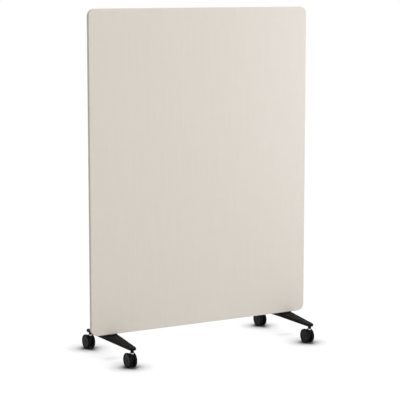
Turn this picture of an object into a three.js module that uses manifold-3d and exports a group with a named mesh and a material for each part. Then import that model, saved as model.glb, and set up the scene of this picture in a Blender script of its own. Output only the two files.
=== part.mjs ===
// A rolling partition: an upholstered panel that stands on two cast feet, each with two
// twin-wheel castors. Millimetres, +Z up, the panel's front faces -Y. The origin lies on the
// floor under the middle of the whole footprint.
import * as THREE from 'three'
import { mergeVertices } from 'three/addons/utils/BufferGeometryUtils.js'
import Module from 'manifold-3d'

const wasm = await Module()
wasm.setup()

// ---------------------------------------------------------------- driving dimensions
const PANEL = {
  width: 1200,
  height: 1532,
  bottom: 118, // height of the panel's lower edge above the floor
  cornerRadius: 35,
  edgeRadius: 3, // rounding of the upholstered edge
}
const LAYERS = {
  frame: 13, // thickness of the stiles and rails
  skin: 2, // hardboard
  padding: 1, // fleece
  cover: 0.5, // woven fabric
}
const FRAME = { stileWidth: 60, railHeight: 60 }
const FOOT = {
  inset: 105, // from the panel's side edge to the foot's middle
  castorSpacing: 436, // front castor stem to rear castor stem
  rootHalfWidth: 36,
  tipRadius: 18.5,
  rootHeight: 17,
  tipHeight: 12,
  tipDrop: 14, // fall of the top face from the root to the tip
  rootBlend: 12, // how softly the two arms meet in plan
  padHalfLength: 11, // flat seat under the panel
  edgeRadius: 4, // rounding of the upper edges
  lowerBevel: 1, // bevel of the lower edges
  wall: 4.5, // of the casting, round its pockets
  rib: 8, // cross rib between the two pockets of an arm
  solidRoot: 14, // metal left between the plate's seat and the first pocket
  solidTip: 2, // metal left between the second pocket and the tip's round end
}
const PLATE = { length: 64, depth: 15, thickness: 4, cornerRadius: 3 }
const BOLT = {
  spacing: 44,
  shankRadius: 3,
  headRadius: 5,
  headHeight: 6,
  headBevel: 0.5,
  keyRadius: 2.9, // hexagon socket, across its corners
  keyDepth: 3,
  grip: 15, // thread held in the insert
  recess: 1, // from the casting's underside up to the head
  headGap: 0.6, // play of the head in its recess
  coverGap: 1, // play of the shank in the fabric
}
const INSERT = { radius: 4.5, length: 18, cornerRadius: 0.6, holeDepth: 24 }
const CASTOR = {
  width: 41, // over both wheels
  trail: 20, // from the stem's axis back to the axle
  bodyGap: 0.8, // from a wheel's inner face to the stem's socket
}
const WHEEL = {
  radius: 35,
  treadWidth: 9,
  shoulder: 3, // fall of the rim on each side of the tread
  rim: 7, // from the tread in to the dished faces
  innerDish: 2,
  outerDish: 2,
  hubWall: 3.5,
  capWall: 5, // of the raised cap over the axle's end
}
const STEM = {
  collarRadius: 7.5,
  collarHeight: 5,
  threadRadius: 5,
  threadLength: 17,
  pinRadius: 4,
  pinLength: 30,
  bevel: 1,
  bossRadius: 8,
  bossHeight: 14,
  bossFlare: 5, // fillet between the boss and the arm
}
const RING = { outer: 5.2, thickness: 1.2, grooveDepth: 1, fromEnd: 3, gapAngle: 50 } // degrees
const SOCKET = { radius: 7.5, wall: 1.7, floor: 3, bevel: 1 }
const HOOD = {
  thickness: 13,
  radius: 32, // round the axle, above and behind it
  lowerRadius: 24, // below the axle
  backAngle: 20, // degrees below the axle at which it starts to narrow
  brow: 4, // from the socket's top down to where the hood leaves it
}
const AXLE = { radius: 3, inset: 4.5 } // inset: from the wheel's outer face to the axle's end
const SEAT = 0.25 // gap between two faces that rest on each other
const RUN = 0.3 // running clearance round a shaft
const ROUND = 24 // facets of a wheel
const FINE = 12 // facets of a pin, a bush or a bore
const THROUGH = 5 // how far a cutting tool reaches past what it cuts

// ---------------------------------------------------------------- derived places
const panelThickness = LAYERS.frame + 2 * (LAYERS.skin + LAYERS.padding + LAYERS.cover)
const frontFace = panelThickness / 2
const frameInset = LAYERS.cover + SEAT
const insertBottom = PANEL.bottom + frameInset
const insertTop = insertBottom + INSERT.length
const footX = PANEL.width / 2 - FOOT.inset
const stemY = FOOT.castorSpacing / 2
const frontReach = stemY + Math.max(FOOT.tipRadius, WHEEL.radius - CASTOR.trail)
const rearReach = stemY + CASTOR.trail + WHEEL.radius
const panelY = (frontReach - rearReach) / 2 // brings the footprint's middle to the origin
const footTop = PANEL.bottom - PLATE.thickness - 2 * SEAT
const tipTop = footTop - FOOT.tipDrop
const bossBottom = tipTop - FOOT.tipHeight - STEM.bossHeight
const collarBottom = bossBottom - SEAT - STEM.collarHeight
const pinBottom = collarBottom - STEM.pinLength
const socketTop = collarBottom - SEAT
const socketBottom = pinBottom - SOCKET.floor
const boltSeat = footTop - FOOT.rootHeight + BOLT.recess + BOLT.headHeight
const wheelInside = SOCKET.radius + CASTOR.bodyGap
const wheelOutside = CASTOR.width / 2
const axleEnd = wheelOutside - AXLE.inset

// ---------------------------------------------------------------- materials
const finish = (name, color, roughness, metalness) =>
  new THREE.MeshStandardMaterial({ name, color, roughness, metalness })
const FABRIC = finish('woven fabric', 0xe0d9d2, 0.95, 0)
const FLEECE = finish('fleece', 0xf1efe9, 1, 0)
const HARDBOARD = finish('hardboard', 0x7a5a3c, 0.8, 0)
const TIMBER = finish('pine', 0xcaa472, 0.7, 0)
const WOOL = finish('mineral wool', 0xb9ae8e, 1, 0)
const CASTING = finish('black powder coat', 0x1d1c1b, 0.45, 0.3)
const STEEL = finish('zinc plated steel', 0xb8bbbe, 0.35, 0.9)
const BLACK_STEEL = finish('blackened steel', 0x222324, 0.5, 0.8)
const NYLON = finish('black nylon', 0x18191a, 0.5, 0)
const ACETAL = finish('white acetal', 0xe8e8e4, 0.4, 0)

// ---------------------------------------------------------------- solids and booleans
const WELD = 1e-4 // distance at which two vertices are one

function toSolid(geometry) {
  const bare = geometry.clone()
  bare.deleteAttribute('normal')
  bare.deleteAttribute('uv')
  const merged = mergeVertices(bare, WELD)
  return new wasm.Manifold(new wasm.Mesh({
    numProp: 3,
    vertProperties: new Float32Array(merged.attributes.position.array),
    triVerts: new Uint32Array(merged.index.array),
  }))
}

function toGeometry(solid) {
  const mesh = solid.getMesh()
  const geometry = new THREE.BufferGeometry()
  geometry.setAttribute('position', new THREE.BufferAttribute(new Float32Array(mesh.vertProperties), 3))
  geometry.setIndex(new THREE.BufferAttribute(new Uint32Array(mesh.triVerts), 1))
  geometry.computeVertexNormals()
  return geometry
}

function cut(body, ...tools) {
  return toGeometry(tools.reduce((solid, tool) => solid.subtract(toSolid(tool)), toSolid(body)))
}

function join(body, ...pieces) {
  return toGeometry(pieces.reduce((solid, piece) => solid.add(toSolid(piece)), toSolid(body)))
}

function common(body, region) {
  return toGeometry(toSolid(body).intersect(toSolid(region)))
}

// ---------------------------------------------------------------- shapes
function roundedRectangle(width, height, radius) {
  const x = width / 2 - radius
  const y = height / 2 - radius
  const shape = new THREE.Shape()
  shape.absarc(x, y, radius, 0, Math.PI / 2)
  shape.absarc(-x, y, radius, Math.PI / 2, Math.PI)
  shape.absarc(-x, -y, radius, Math.PI, 1.5 * Math.PI)
  shape.absarc(x, -y, radius, 1.5 * Math.PI, 2 * Math.PI)
  shape.closePath()
  return shape
}

// A box from its lowest corner to its highest.
function block(low, high) {
  const size = high.map((value, axis) => value - low[axis])
  return new THREE.BoxGeometry(...size).translate(...low.map((value, axis) => value + size[axis] / 2))
}

// A solid of revolution about Z. The profile is a list of [radius, height] pairs.
function turned(profile, facets = FINE) {
  const points = profile.map(([radius, height]) => new THREE.Vector2(radius, height))
  return new THREE.LatheGeometry(points, facets).rotateX(Math.PI / 2)
}

function pin(radius, from, to, facets = FINE) {
  return turned([[0, from], [radius, from], [radius, to], [0, to]], facets)
}

// A tube about Z: its section closes on itself.
function sleeve(inner, outer, from, to) {
  return turned([[inner, from], [outer, from], [outer, to], [inner, to], [inner, from]])
}

// The radius of a faceted bore whose flats clear a round of the given radius.
function boreRadius(radius, clearance = RUN, facets = FINE) {
  return (radius + clearance) / Math.cos(Math.PI / facets)
}

// The points of a quarter circle, from along the first direction to along the second.
function quarterArc(steps, makePoint) {
  return Array.from({ length: steps + 1 }, (_, step) => {
    const turn = (step / steps) * (Math.PI / 2)
    return makePoint(Math.cos(turn), Math.sin(turn))
  })
}

// An upright sheet of the panel's outline, inset all round, between two depths behind Y = 0.
function sheet(inset, from, to, bevel = 0) {
  const shape = roundedRectangle(
    PANEL.width - 2 * (inset + bevel),
    PANEL.height - 2 * (inset + bevel),
    Math.max(PANEL.cornerRadius - inset - bevel, 1),
  )
  const geometry = new THREE.ExtrudeGeometry(shape, {
    depth: to - from - 2 * bevel,
    curveSegments: 4,
    bevelEnabled: bevel > 0,
    bevelThickness: bevel,
    bevelSize: bevel,
    bevelSegments: 2,
  })
  return geometry.rotateX(Math.PI / 2).translate(0, to - bevel, PANEL.bottom + PANEL.height / 2)
}

// A closed skin over a row of rings that have the same number of points.
function loft(rings) {
  const count = rings[0].length
  const index = []
  for (let ring = 0; ring + 1 < rings.length; ring += 1) {
    for (let point = 0; point < count; point += 1) {
      const next = (point + 1) % count
      const [a, b] = [ring * count + point, ring * count + next]
      index.push(a, b + count, b, a, a + count, b + count)
    }
  }
  const last = (rings.length - 1) * count
  for (let point = 1; point + 1 < count; point += 1) {
    index.push(0, point, point + 1, last, last + point + 1, last + point)
  }
  const geometry = new THREE.BufferGeometry()
  geometry.setAttribute('position', new THREE.Float32BufferAttribute(rings.flat(2), 3))
  geometry.setIndex(index)
  geometry.computeVertexNormals()
  return geometry
}

// ---------------------------------------------------------------- scene graph
const partition = new THREE.Group()

function add(parent, name, geometry, material) {
  const mesh = new THREE.Mesh(geometry, material)
  mesh.name = name
  parent.add(mesh)
  return mesh
}

function place(parent, x, y, z) {
  const group = new THREE.Group()
  group.position.set(x, y, z)
  parent.add(group)
  return group
}

// ---------------------------------------------------------------- upholstered panel
// How far the fabric's inner face stands in from the panel's outline at a depth from the middle.
function coverInset(depth) {
  const inner = PANEL.edgeRadius - LAYERS.cover
  const intoRounding = Math.max(depth - (frontFace - PANEL.edgeRadius), 0)
  return LAYERS.cover + inner - Math.sqrt(Math.max(inner ** 2 - intoRounding ** 2, 0))
}

const boltPlaces = [-1, 1].flatMap((foot) =>
  [-1, 1].map((side) => foot * footX + (side * BOLT.spacing) / 2))

function atBolts(tool) {
  return boltPlaces.map((x) => tool.clone().translate(x, 0, 0))
}

function addFrame(panel) {
  const half = LAYERS.frame / 2
  const outline = sheet(frameInset, -half, half)
  const right = PANEL.width / 2
  const inside = right - frameInset - FRAME.stileWidth
  const low = PANEL.bottom
  const high = PANEL.bottom + PANEL.height
  const middle = (low + high) / 2
  const tall = (x0, x1) => block([x0, -panelThickness, low], [x1, panelThickness, high])
  add(panel, 'left_stile', common(outline, tall(-right, -inside)), TIMBER)
  add(panel, 'right_stile', common(outline, tall(inside, right)), TIMBER)

  const railEnd = inside - SEAT
  const rail = (z0, z1) => block([-railEnd, -half, z0], [railEnd, half, z1])
  const railBottom = low + frameInset
  const railTop = high - frameInset
  const insertHole = pin(boreRadius(INSERT.radius, SEAT), railBottom - THROUGH, railBottom + INSERT.holeDepth)
  const bottomRail = rail(railBottom, railBottom + FRAME.railHeight)
  add(panel, 'bottom_rail', cut(bottomRail, ...atBolts(insertHole)), TIMBER)
  add(panel, 'middle_rail', rail(middle - FRAME.railHeight / 2, middle + FRAME.railHeight / 2), TIMBER)
  add(panel, 'top_rail', rail(railTop - FRAME.railHeight, railTop), TIMBER)

  const fill = (z0, z1) => block([-railEnd, -half + SEAT, z0 + SEAT], [railEnd, half - SEAT, z1 - SEAT])
  add(panel, 'lower_infill', fill(railBottom + FRAME.railHeight, middle - FRAME.railHeight / 2), WOOL)
  add(panel, 'upper_infill', fill(middle + FRAME.railHeight / 2, railTop - FRAME.railHeight), WOOL)
}

function addInserts(panel) {
  const bore = boreRadius(BOLT.shankRadius)
  const outer = INSERT.radius
  const soft = INSERT.cornerRadius
  const insert = turned([
    [bore, insertBottom], [outer, insertBottom], [outer, insertTop - soft],
    [outer - soft, insertTop], [bore, insertTop], [bore, insertBottom],
  ])
  atBolts(insert).forEach((geometry, at) => add(panel, `threaded_insert_${at + 1}`, geometry, STEEL))
}

function addLayers(panel) {
  const skinFrom = LAYERS.frame / 2
  const paddingFrom = skinFrom + LAYERS.skin
  const coverFrom = paddingFrom + LAYERS.padding
  const skinInset = Math.max(coverInset(paddingFrom), frameInset) + SEAT
  const paddingInset = coverInset(coverFrom) + SEAT
  add(panel, 'front_skin', sheet(skinInset, -paddingFrom, -skinFrom), HARDBOARD)
  add(panel, 'rear_skin', sheet(skinInset, skinFrom, paddingFrom), HARDBOARD)
  add(panel, 'front_padding', sheet(paddingInset, -coverFrom, -paddingFrom), FLEECE)
  add(panel, 'rear_padding', sheet(paddingInset, paddingFrom, coverFrom), FLEECE)
}

// Two fabric covers meet along a seam in the middle of the panel's edge.
function addCovers(panel) {
  const outside = sheet(0, -frontFace, frontFace, PANEL.edgeRadius)
  const inside = sheet(
    LAYERS.cover,
    LAYERS.cover - frontFace,
    frontFace - LAYERS.cover,
    PANEL.edgeRadius - LAYERS.cover,
  )
  const boltHole = pin(
    boreRadius(BOLT.shankRadius, BOLT.coverGap),
    PANEL.bottom - THROUGH,
    PANEL.bottom + THROUGH,
  )
  const hollow = cut(outside, inside, ...atBolts(boltHole))
  const reach = PANEL.width
  const top = PANEL.bottom + PANEL.height + THROUGH
  const half = (from, to) => block([-reach, from, 0], [reach, to, top])
  add(panel, 'front_cover', common(hollow, half(-panelThickness, -SEAT / 2)), FABRIC)
  add(panel, 'rear_cover', common(hollow, half(SEAT / 2, panelThickness)), FABRIC)
}

// ---------------------------------------------------------------- feet
// The casting is the same to the front and to the rear, so its sizes depend on the distance
// from the panel's middle only.
const along = (y) => Math.abs(y) / stemY

function footHalfWidth(y) {
  const soft = FOOT.rootBlend
  const reach = (Math.sqrt(y ** 2 + soft ** 2) - soft) / (Math.sqrt(stemY ** 2 + soft ** 2) - soft)
  const straight = FOOT.rootHalfWidth + (FOOT.tipRadius - FOOT.rootHalfWidth) * reach
  const past = Math.abs(y) - stemY
  return past > 0 ? Math.sqrt(Math.max(FOOT.tipRadius ** 2 - past ** 2, 0)) : straight
}

function footTopAt(y) {
  const fall = Math.max(Math.abs(y) - FOOT.padHalfLength, 0) / (stemY - FOOT.padHalfLength)
  return footTop - FOOT.tipDrop * fall
}

function footBottomAt(y) {
  const height = FOOT.rootHeight + (FOOT.tipHeight - FOOT.rootHeight) * along(y)
  return footTop - FOOT.tipDrop * along(y) - height
}

// One cross-section of the casting: flat below with bevelled edges, rounded above.
function footSection(y) {
  const half = footHalfWidth(y)
  const toEnd = stemY + FOOT.tipRadius - Math.abs(y)
  const soft = Math.min(FOOT.edgeRadius, half * 0.8)
  const bevel = Math.min(FOOT.lowerBevel, half / 2)
  const into = Math.max(FOOT.edgeRadius - toEnd, 0)
  const drop = FOOT.edgeRadius - Math.sqrt(FOOT.edgeRadius ** 2 - into ** 2)
  const top = footTopAt(y) - drop
  const bottom = footBottomAt(y)
  return [
    [-half, y, bottom + bevel], [-half + bevel, y, bottom],
    [half - bevel, y, bottom], [half, y, bottom + bevel],
    ...quarterArc(2, (over, up) => [half - soft + soft * over, y, top - soft + soft * up]),
    ...quarterArc(2, (up, over) => [-half + soft - soft * over, y, top - soft + soft * up]),
  ]
}

// Distances of the cross-sections, closer together round the tips.
function footStations() {
  const armSteps = 5
  const tipTurns = [24, 44, 62, 77, 87] // degrees round the tip
  const arm = Array.from({ length: armSteps + 1 }, (_, step) =>
    FOOT.padHalfLength + ((stemY - FOOT.padHalfLength) * step) / armSteps)
  const tip = tipTurns.map((turn) => stemY + FOOT.tipRadius * Math.sin(THREE.MathUtils.degToRad(turn)))
  const forward = [...arm, ...tip]
  return [...forward.map((y) => -y).reverse(), 0, ...forward]
}

// A pocket in the underside, between two distances along one arm.
function footPocket(from, to, side) {
  const middle = (from + to) / 2
  const stations = side > 0 ? [from, middle, to] : [-to, -middle, -from]
  return loft(stations.map((y) => {
    const half = footHalfWidth(y) - FOOT.wall
    const top = footTopAt(y) - FOOT.wall
    const below = footBottomAt(y) - THROUGH
    return [[-half, y, below], [half, y, below], [half, y, top], [-half, y, top]]
  }))
}

// The round boss under a tip, with a fillet where it runs into the arm.
function footBoss() {
  const { bossRadius, bossFlare, bevel } = STEM
  const underside = footBottomAt(stemY)
  const intoArm = 2
  const fillet = quarterArc(3, (across, up) =>
    [bossRadius + bossFlare * (1 - across), underside - bossFlare * (1 - up)])
  return turned([
    [0, bossBottom], [bossRadius - bevel, bossBottom], [bossRadius, bossBottom + bevel],
    ...fillet, [bossRadius + bossFlare, underside + intoArm], [0, underside + intoArm],
  ])
}

function footCasting() {
  const beam = loft(footStations().map(footSection))
  const bosses = [-stemY, stemY].map((y) => footBoss().translate(0, y, 0))
  const socketEnd = bossBottom + STEM.threadLength + STEM.bevel
  const socket = pin(boreRadius(STEM.threadRadius, SEAT), bossBottom - THROUGH, socketEnd)
  const sockets = [-stemY, stemY].map((y) => socket.clone().translate(0, y, 0))
  const rootEnd = PLATE.depth / 2 + FOOT.solidRoot
  const tipStart = stemY - FOOT.tipRadius - FOOT.solidTip
  const middle = (rootEnd + tipStart) / 2
  const pockets = [-1, 1].flatMap((side) => [
    footPocket(rootEnd, middle - FOOT.rib / 2, side),
    footPocket(middle + FOOT.rib / 2, tipStart, side),
  ])
  const below = footTop - FOOT.rootHeight - THROUGH
  const boltHoles = [-1, 1].flatMap((side) => [
    pin(boreRadius(BOLT.shankRadius), below, footTop + THROUGH),
    pin(boreRadius(BOLT.headRadius, BOLT.headGap), below, boltSeat),
  ].map((hole) => hole.translate((side * BOLT.spacing) / 2, 0, 0)))
  return cut(join(beam, ...bosses), ...sockets, ...pockets, ...boltHoles)
}

function plateGeometry() {
  const shape = roundedRectangle(PLATE.length, PLATE.depth, PLATE.cornerRadius)
  for (const side of [-1, 1]) {
    const hole = new THREE.Path()
    hole.absarc((side * BOLT.spacing) / 2, 0, boreRadius(BOLT.shankRadius), 0, 2 * Math.PI, true)
    shape.holes.push(hole)
  }
  const plate = new THREE.ExtrudeGeometry(shape, {
    depth: PLATE.thickness,
    curveSegments: 4,
    bevelEnabled: false,
  })
  return plate.translate(0, 0, footTop + SEAT)
}

// A socket head screw that stands head down, its shank going up into the insert.
function boltGeometry() {
  const headTop = boltSeat - SEAT
  const head = headTop - BOLT.headHeight
  const end = insertBottom + BOLT.grip
  const lead = BOLT.shankRadius / 3 // bevel at the thread's start
  const screw = turned([
    [0, head], [BOLT.headRadius - BOLT.headBevel, head], [BOLT.headRadius, head + BOLT.headBevel],
    [BOLT.headRadius, headTop], [BOLT.shankRadius, headTop],
    [BOLT.shankRadius, end - lead], [BOLT.shankRadius - lead, end], [0, end],
  ])
  return cut(screw, pin(BOLT.keyRadius, head - THROUGH, head + BOLT.keyDepth, 6))
}

function addFoot(parent, side) {
  const hand = side < 0 ? 'left' : 'right'
  const foot = place(parent, side * footX, 0, 0)
  add(foot, `${hand}_foot_casting`, footCasting(), CASTING)
  add(foot, `${hand}_mounting_plate`, plateGeometry(), BLACK_STEEL)
  for (const [where, toward] of [['outer', side], ['inner', -side]]) {
    const bolt = boltGeometry().translate((toward * BOLT.spacing) / 2, 0, 0)
    add(foot, `${hand}_foot_bolt_${where}`, bolt, STEEL)
  }
  addCastor(foot, `${hand}_front_castor`, -stemY)
  addCastor(foot, `${hand}_rear_castor`, stemY)
}

// ---------------------------------------------------------------- castors
const hoodHalf = HOOD.thickness / 2
const socketBore = SOCKET.radius - SOCKET.wall
const ringBottom = pinBottom + RING.fromEnd
const ringTop = ringBottom + RING.thickness
const grooveRadius = STEM.pinRadius - RING.grooveDepth

// Thread, collar and pin in one turned piece, with a groove for the retaining ring.
function stemGeometry() {
  const top = bossBottom + STEM.threadLength
  const { pinRadius, threadRadius, collarRadius, bevel } = STEM
  return turned([
    [0, pinBottom], [pinRadius, pinBottom], [pinRadius, ringBottom - SEAT],
    [grooveRadius, ringBottom - SEAT], [grooveRadius, ringTop + SEAT],
    [pinRadius, ringTop + SEAT], [pinRadius, collarBottom],
    [collarRadius, collarBottom], [collarRadius, collarBottom + STEM.collarHeight],
    [threadRadius, collarBottom + STEM.collarHeight],
    [threadRadius, top - bevel], [threadRadius - bevel, top], [0, top],
  ])
}

// A split spring ring in the stem's groove: the bush hangs on it when the castor is lifted.
function ringGeometry() {
  const halfGap = THREE.MathUtils.degToRad(RING.gapAngle / 2)
  const shape = new THREE.Shape()
  shape.absarc(0, 0, RING.outer, halfGap, 2 * Math.PI - halfGap)
  shape.absarc(0, 0, grooveRadius + SEAT, 2 * Math.PI - halfGap, halfGap, true)
  shape.closePath()
  const ring = new THREE.ExtrudeGeometry(shape, {
    depth: RING.thickness,
    curveSegments: 6,
    bevelEnabled: false,
  })
  return ring.translate(0, 0, ringBottom)
}

function bushGeometry() {
  return sleeve(boreRadius(STEM.pinRadius), socketBore - SEAT, ringTop + SEAT, socketTop - SEAT)
}

// The hood between the wheels, drawn from the side: from the socket back over the axle, and
// narrower below it.
function hoodOutline() {
  const { trail } = CASTOR
  const { radius, bevel } = SOCKET
  const axleZ = WHEEL.radius
  const front = bevel - radius
  const brow = socketTop - HOOD.brow
  const top = axleZ + HOOD.radius
  const lowest = axleZ - HOOD.lowerRadius
  const back = THREE.MathUtils.degToRad(-HOOD.backAngle)
  const backZ = axleZ + HOOD.radius * Math.sin(back)
  const tangentY = trail + HOOD.radius * Math.cos(back) + (backZ - lowest) * Math.tan(back)
  const outline = new THREE.Shape()
  outline.moveTo(front, socketBottom)
  outline.lineTo(front, brow)
  outline.lineTo(radius - bevel, brow)
  outline.quadraticCurveTo(radius + bevel, top, trail, top)
  outline.absarc(trail, axleZ, HOOD.radius, Math.PI / 2, back, true)
  outline.quadraticCurveTo(tangentY, lowest, trail, lowest)
  outline.quadraticCurveTo(0, lowest, front, socketBottom)
  return outline
}

function housingGeometry() {
  const { radius, floor, bevel } = SOCKET
  const hood = new THREE.ExtrudeGeometry(hoodOutline(), {
    depth: HOOD.thickness - 2 * bevel,
    curveSegments: 5,
    bevelEnabled: true,
    bevelThickness: bevel,
    bevelSize: bevel,
    bevelOffset: -bevel,
    bevelSegments: 1,
  }).rotateX(Math.PI / 2).rotateZ(Math.PI / 2).translate(bevel - hoodHalf, 0, 0)
  const tube = turned([
    [0, socketBottom - floor], [radius - 2 * bevel, socketBottom - floor], [radius, socketBottom],
    [radius, socketTop - bevel], [radius - bevel, socketTop], [0, socketTop],
  ])
  const bore = pin(boreRadius(socketBore, 0), socketBottom, socketTop + THROUGH)
  const axleBore = pin(boreRadius(AXLE.radius, SEAT), -hoodHalf - THROUGH, hoodHalf + THROUGH)
  return cut(join(hood, tube), bore, axleBore.rotateY(Math.PI / 2).translate(0, CASTOR.trail, WHEEL.radius))
}

// One wheel, turned about Z with its outer face up, from a list of [radius, distance outward].
function wheelGeometry() {
  const { radius, treadWidth, shoulder, rim, innerDish, outerDish, hubWall, capWall } = WHEEL
  const bore = boreRadius(AXLE.radius)
  const boreEnd = axleEnd + SEAT
  const hubInside = hoodHalf + SEAT
  const treadFrom = (wheelInside + wheelOutside - treadWidth) / 2
  return turned([
    [0, boreEnd], [bore, boreEnd], [bore, hubInside], [bore + hubWall, hubInside],
    [bore + hubWall, wheelInside + innerDish], [radius - rim, wheelInside + innerDish],
    [radius - shoulder, wheelInside], [radius, treadFrom], [radius, treadFrom + treadWidth],
    [radius - shoulder, wheelOutside], [radius - rim, wheelOutside - outerDish],
    [bore + capWall + 1, wheelOutside - outerDish], [bore + capWall, wheelOutside], [0, wheelOutside],
  ], ROUND)
}

function addCastor(parent, name, y) {
  const castor = place(parent, 0, y, 0)
  add(castor, `${name}_stem`, stemGeometry(), STEEL)
  add(castor, `${name}_retaining_ring`, ringGeometry(), STEEL)
  add(castor, `${name}_housing`, housingGeometry(), NYLON)
  add(castor, `${name}_bush`, bushGeometry(), ACETAL)
  const hub = place(castor, 0, CASTOR.trail, WHEEL.radius)
  add(hub, `${name}_axle`, pin(AXLE.radius, -axleEnd, axleEnd).rotateY(Math.PI / 2), STEEL)
  add(hub, `${name}_left_wheel`, wheelGeometry().rotateY(-Math.PI / 2), NYLON)
  add(hub, `${name}_right_wheel`, wheelGeometry().rotateY(Math.PI / 2), NYLON)
}

// ---------------------------------------------------------------- assembly
const body = place(partition, 0, panelY, 0)
addFrame(body)
addInserts(body)
addLayers(body)
addCovers(body)
addFoot(body, -1)
addFoot(body, 1)

export default partition
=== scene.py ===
"""The looks of a rolling partition: an upholstered panel on two cast cross feet, each of which
stands on two twin-wheel castors. Metres, +Z up, the panel's front faces -Y."""
import math

import bmesh
import bpy
from bpy.props import FloatProperty, FloatVectorProperty, IntProperty, PointerProperty
from mathutils import Matrix, Vector, noise
from mathutils.geometry import delaunay_2d_cdt


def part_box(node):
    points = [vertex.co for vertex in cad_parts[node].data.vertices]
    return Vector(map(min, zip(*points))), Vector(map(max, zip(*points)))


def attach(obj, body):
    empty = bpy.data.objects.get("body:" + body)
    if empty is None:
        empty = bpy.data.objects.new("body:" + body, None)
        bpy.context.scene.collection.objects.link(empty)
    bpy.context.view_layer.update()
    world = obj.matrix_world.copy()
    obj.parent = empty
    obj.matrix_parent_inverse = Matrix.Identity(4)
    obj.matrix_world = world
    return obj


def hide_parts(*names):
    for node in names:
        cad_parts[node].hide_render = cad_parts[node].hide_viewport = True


bl_info = {
    "name": "Rolling Partition",
    "version": (1, 0, 0),
    "blender": (4, 5, 0),
    "location": "3D View > Sidebar > Partition",
    "description": "Dresses a rolling partition: fabric covers, cast feet, castors and a studio",
    "category": "Object",
}

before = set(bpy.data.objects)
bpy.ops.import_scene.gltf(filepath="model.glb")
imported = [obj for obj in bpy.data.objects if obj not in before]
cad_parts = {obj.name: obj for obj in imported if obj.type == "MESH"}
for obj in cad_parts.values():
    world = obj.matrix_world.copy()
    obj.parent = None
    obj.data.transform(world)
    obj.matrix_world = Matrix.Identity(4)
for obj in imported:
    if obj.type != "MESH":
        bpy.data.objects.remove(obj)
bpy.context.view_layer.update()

MM = 0.001
HANDS = ("left", "right")
CASTORS = tuple(f"{hand}_{end}_castor" for hand in HANDS for end in ("front", "rear"))


# ---------------------------------------------------------------- colours and node trees
def linear(code):
    """The linear red, green and blue of an sRGB hex colour."""
    parts = [int(code[at:at + 2], 16) / 255 for at in (1, 3, 5)]
    return tuple(v / 12.92 if v <= 0.04045 else ((v + 0.055) / 1.055) ** 2.4 for v in parts)


def opaque(colour):
    """A colour with the fourth part that shader sockets ask for."""
    return (*colour[:3], 1.0)


def shade(colour, share):
    """A colour made lighter or darker by a factor."""
    return tuple(min(part * share, 1.0) for part in colour[:3])


def add_node(tree, kind, links=None, **settings):
    """Adds one shader node, sets it, and links or sets its inputs by name or number."""
    made = tree.nodes.new("ShaderNode" + kind)
    for name, value in settings.items():
        setattr(made, name, value)
    for socket, source in (links or {}).items():
        if isinstance(source, bpy.types.NodeSocket):
            tree.links.new(source, made.inputs[socket])
        else:
            made.inputs[socket].default_value = source
    return made


def new_material(title, **sockets):
    """A material with one Principled shader whose sockets hold the given constants."""
    material = bpy.data.materials.new(title)
    material.use_nodes = True
    tree = material.node_tree
    tree.nodes.clear()
    shader = add_node(
        tree, "BsdfPrincipled", {name.replace("_", " "): value for name, value in sockets.items()})
    add_node(tree, "OutputMaterial", {"Surface": shader.outputs["BSDF"]})
    return material, tree, shader


def per_metre(size_mm):
    """The scale of a pattern whose cells measure size_mm."""
    return 1000 / size_mm


# ---------------------------------------------------------------- settings
def colour_setting(name, description, code):
    return FloatVectorProperty(
        name=name, description=description, subtype="COLOR", size=3, min=0.0, max=1.0,
        default=linear(code))


def length_setting(name, description, size_mm):
    return FloatProperty(
        name=name, description=description, unit="LENGTH", subtype="DISTANCE", min=0.0,
        precision=5, default=size_mm * MM)


class PanelSettings(bpy.types.PropertyGroup):
    """Sizes and colours of the upholstered panel."""
    fabric: colour_setting("Fabric", "Colour of the woven covers", "#dfd7cc")
    fleece: colour_setting("Fleece", "Colour of the padding under the covers", "#efece5")
    wool: colour_setting("Mineral wool", "Colour of the sound-absorbing slabs", "#b5a984")
    pine: colour_setting("Pine", "Colour of the stiles and rails", "#cda877")
    board: colour_setting("Hardboard", "Colour of the skins", "#79573a")
    corner_radius: length_setting("Corner radius", "Rounding of the panel's outline", 35)
    edge_radius: length_setting("Edge radius", "Rounding of the upholstered edge", 3)
    cloth_thickness: length_setting("Cloth thickness", "Thickness of the woven covers", 0.5)
    seam_fold: length_setting("Seam fold", "Depth of the groove where the covers meet", 1.2)
    pucker_pitch: length_setting("Pucker pitch", "Distance between two stitches of the seam", 12)
    pucker_depth: length_setting("Pucker depth", "How far a stitch draws the cloth in", 0.22)
    thread_spacing: length_setting("Thread spacing", "From one drawn yarn to the next", 0.8)


class FootSettings(bpy.types.PropertyGroup):
    """Sizes and colours of the cast feet and their screws."""
    coat: colour_setting("Powder coat", "Colour of the cast feet", "#121111")
    plate: colour_setting("Plate", "Colour of the blackened plates", "#232426")
    zinc: colour_setting("Zinc", "Colour of the zinc plated screws and stems", "#c9ccce")
    tip_radius: length_setting("Tip radius", "Round end of an arm in plan", 18.5)
    root_height: length_setting("Root height", "Height of the casting at the panel", 17)
    tip_height: length_setting("Tip height", "Height of the casting at the castor", 12)
    tip_drop: length_setting("Tip drop", "Fall of the top face from root to tip", 14)
    root_blend: length_setting("Root blend", "How softly the two arms meet in plan", 12)
    pad_half: length_setting("Seat", "Half the length of the flat seat under the panel", 11)
    edge_radius: length_setting("Edge radius", "Rounding of the upper edges", 4)
    lower_radius: length_setting("Lower edge radius", "Rounding of the lower edges", 1)
    wall: length_setting("Wall", "Wall of the casting round its pockets", 4.5)
    rib: length_setting("Rib", "Cross rib between two pockets", 8)
    screw_spacing: length_setting("Screw spacing", "Between the two screws of a foot", 44)


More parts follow.
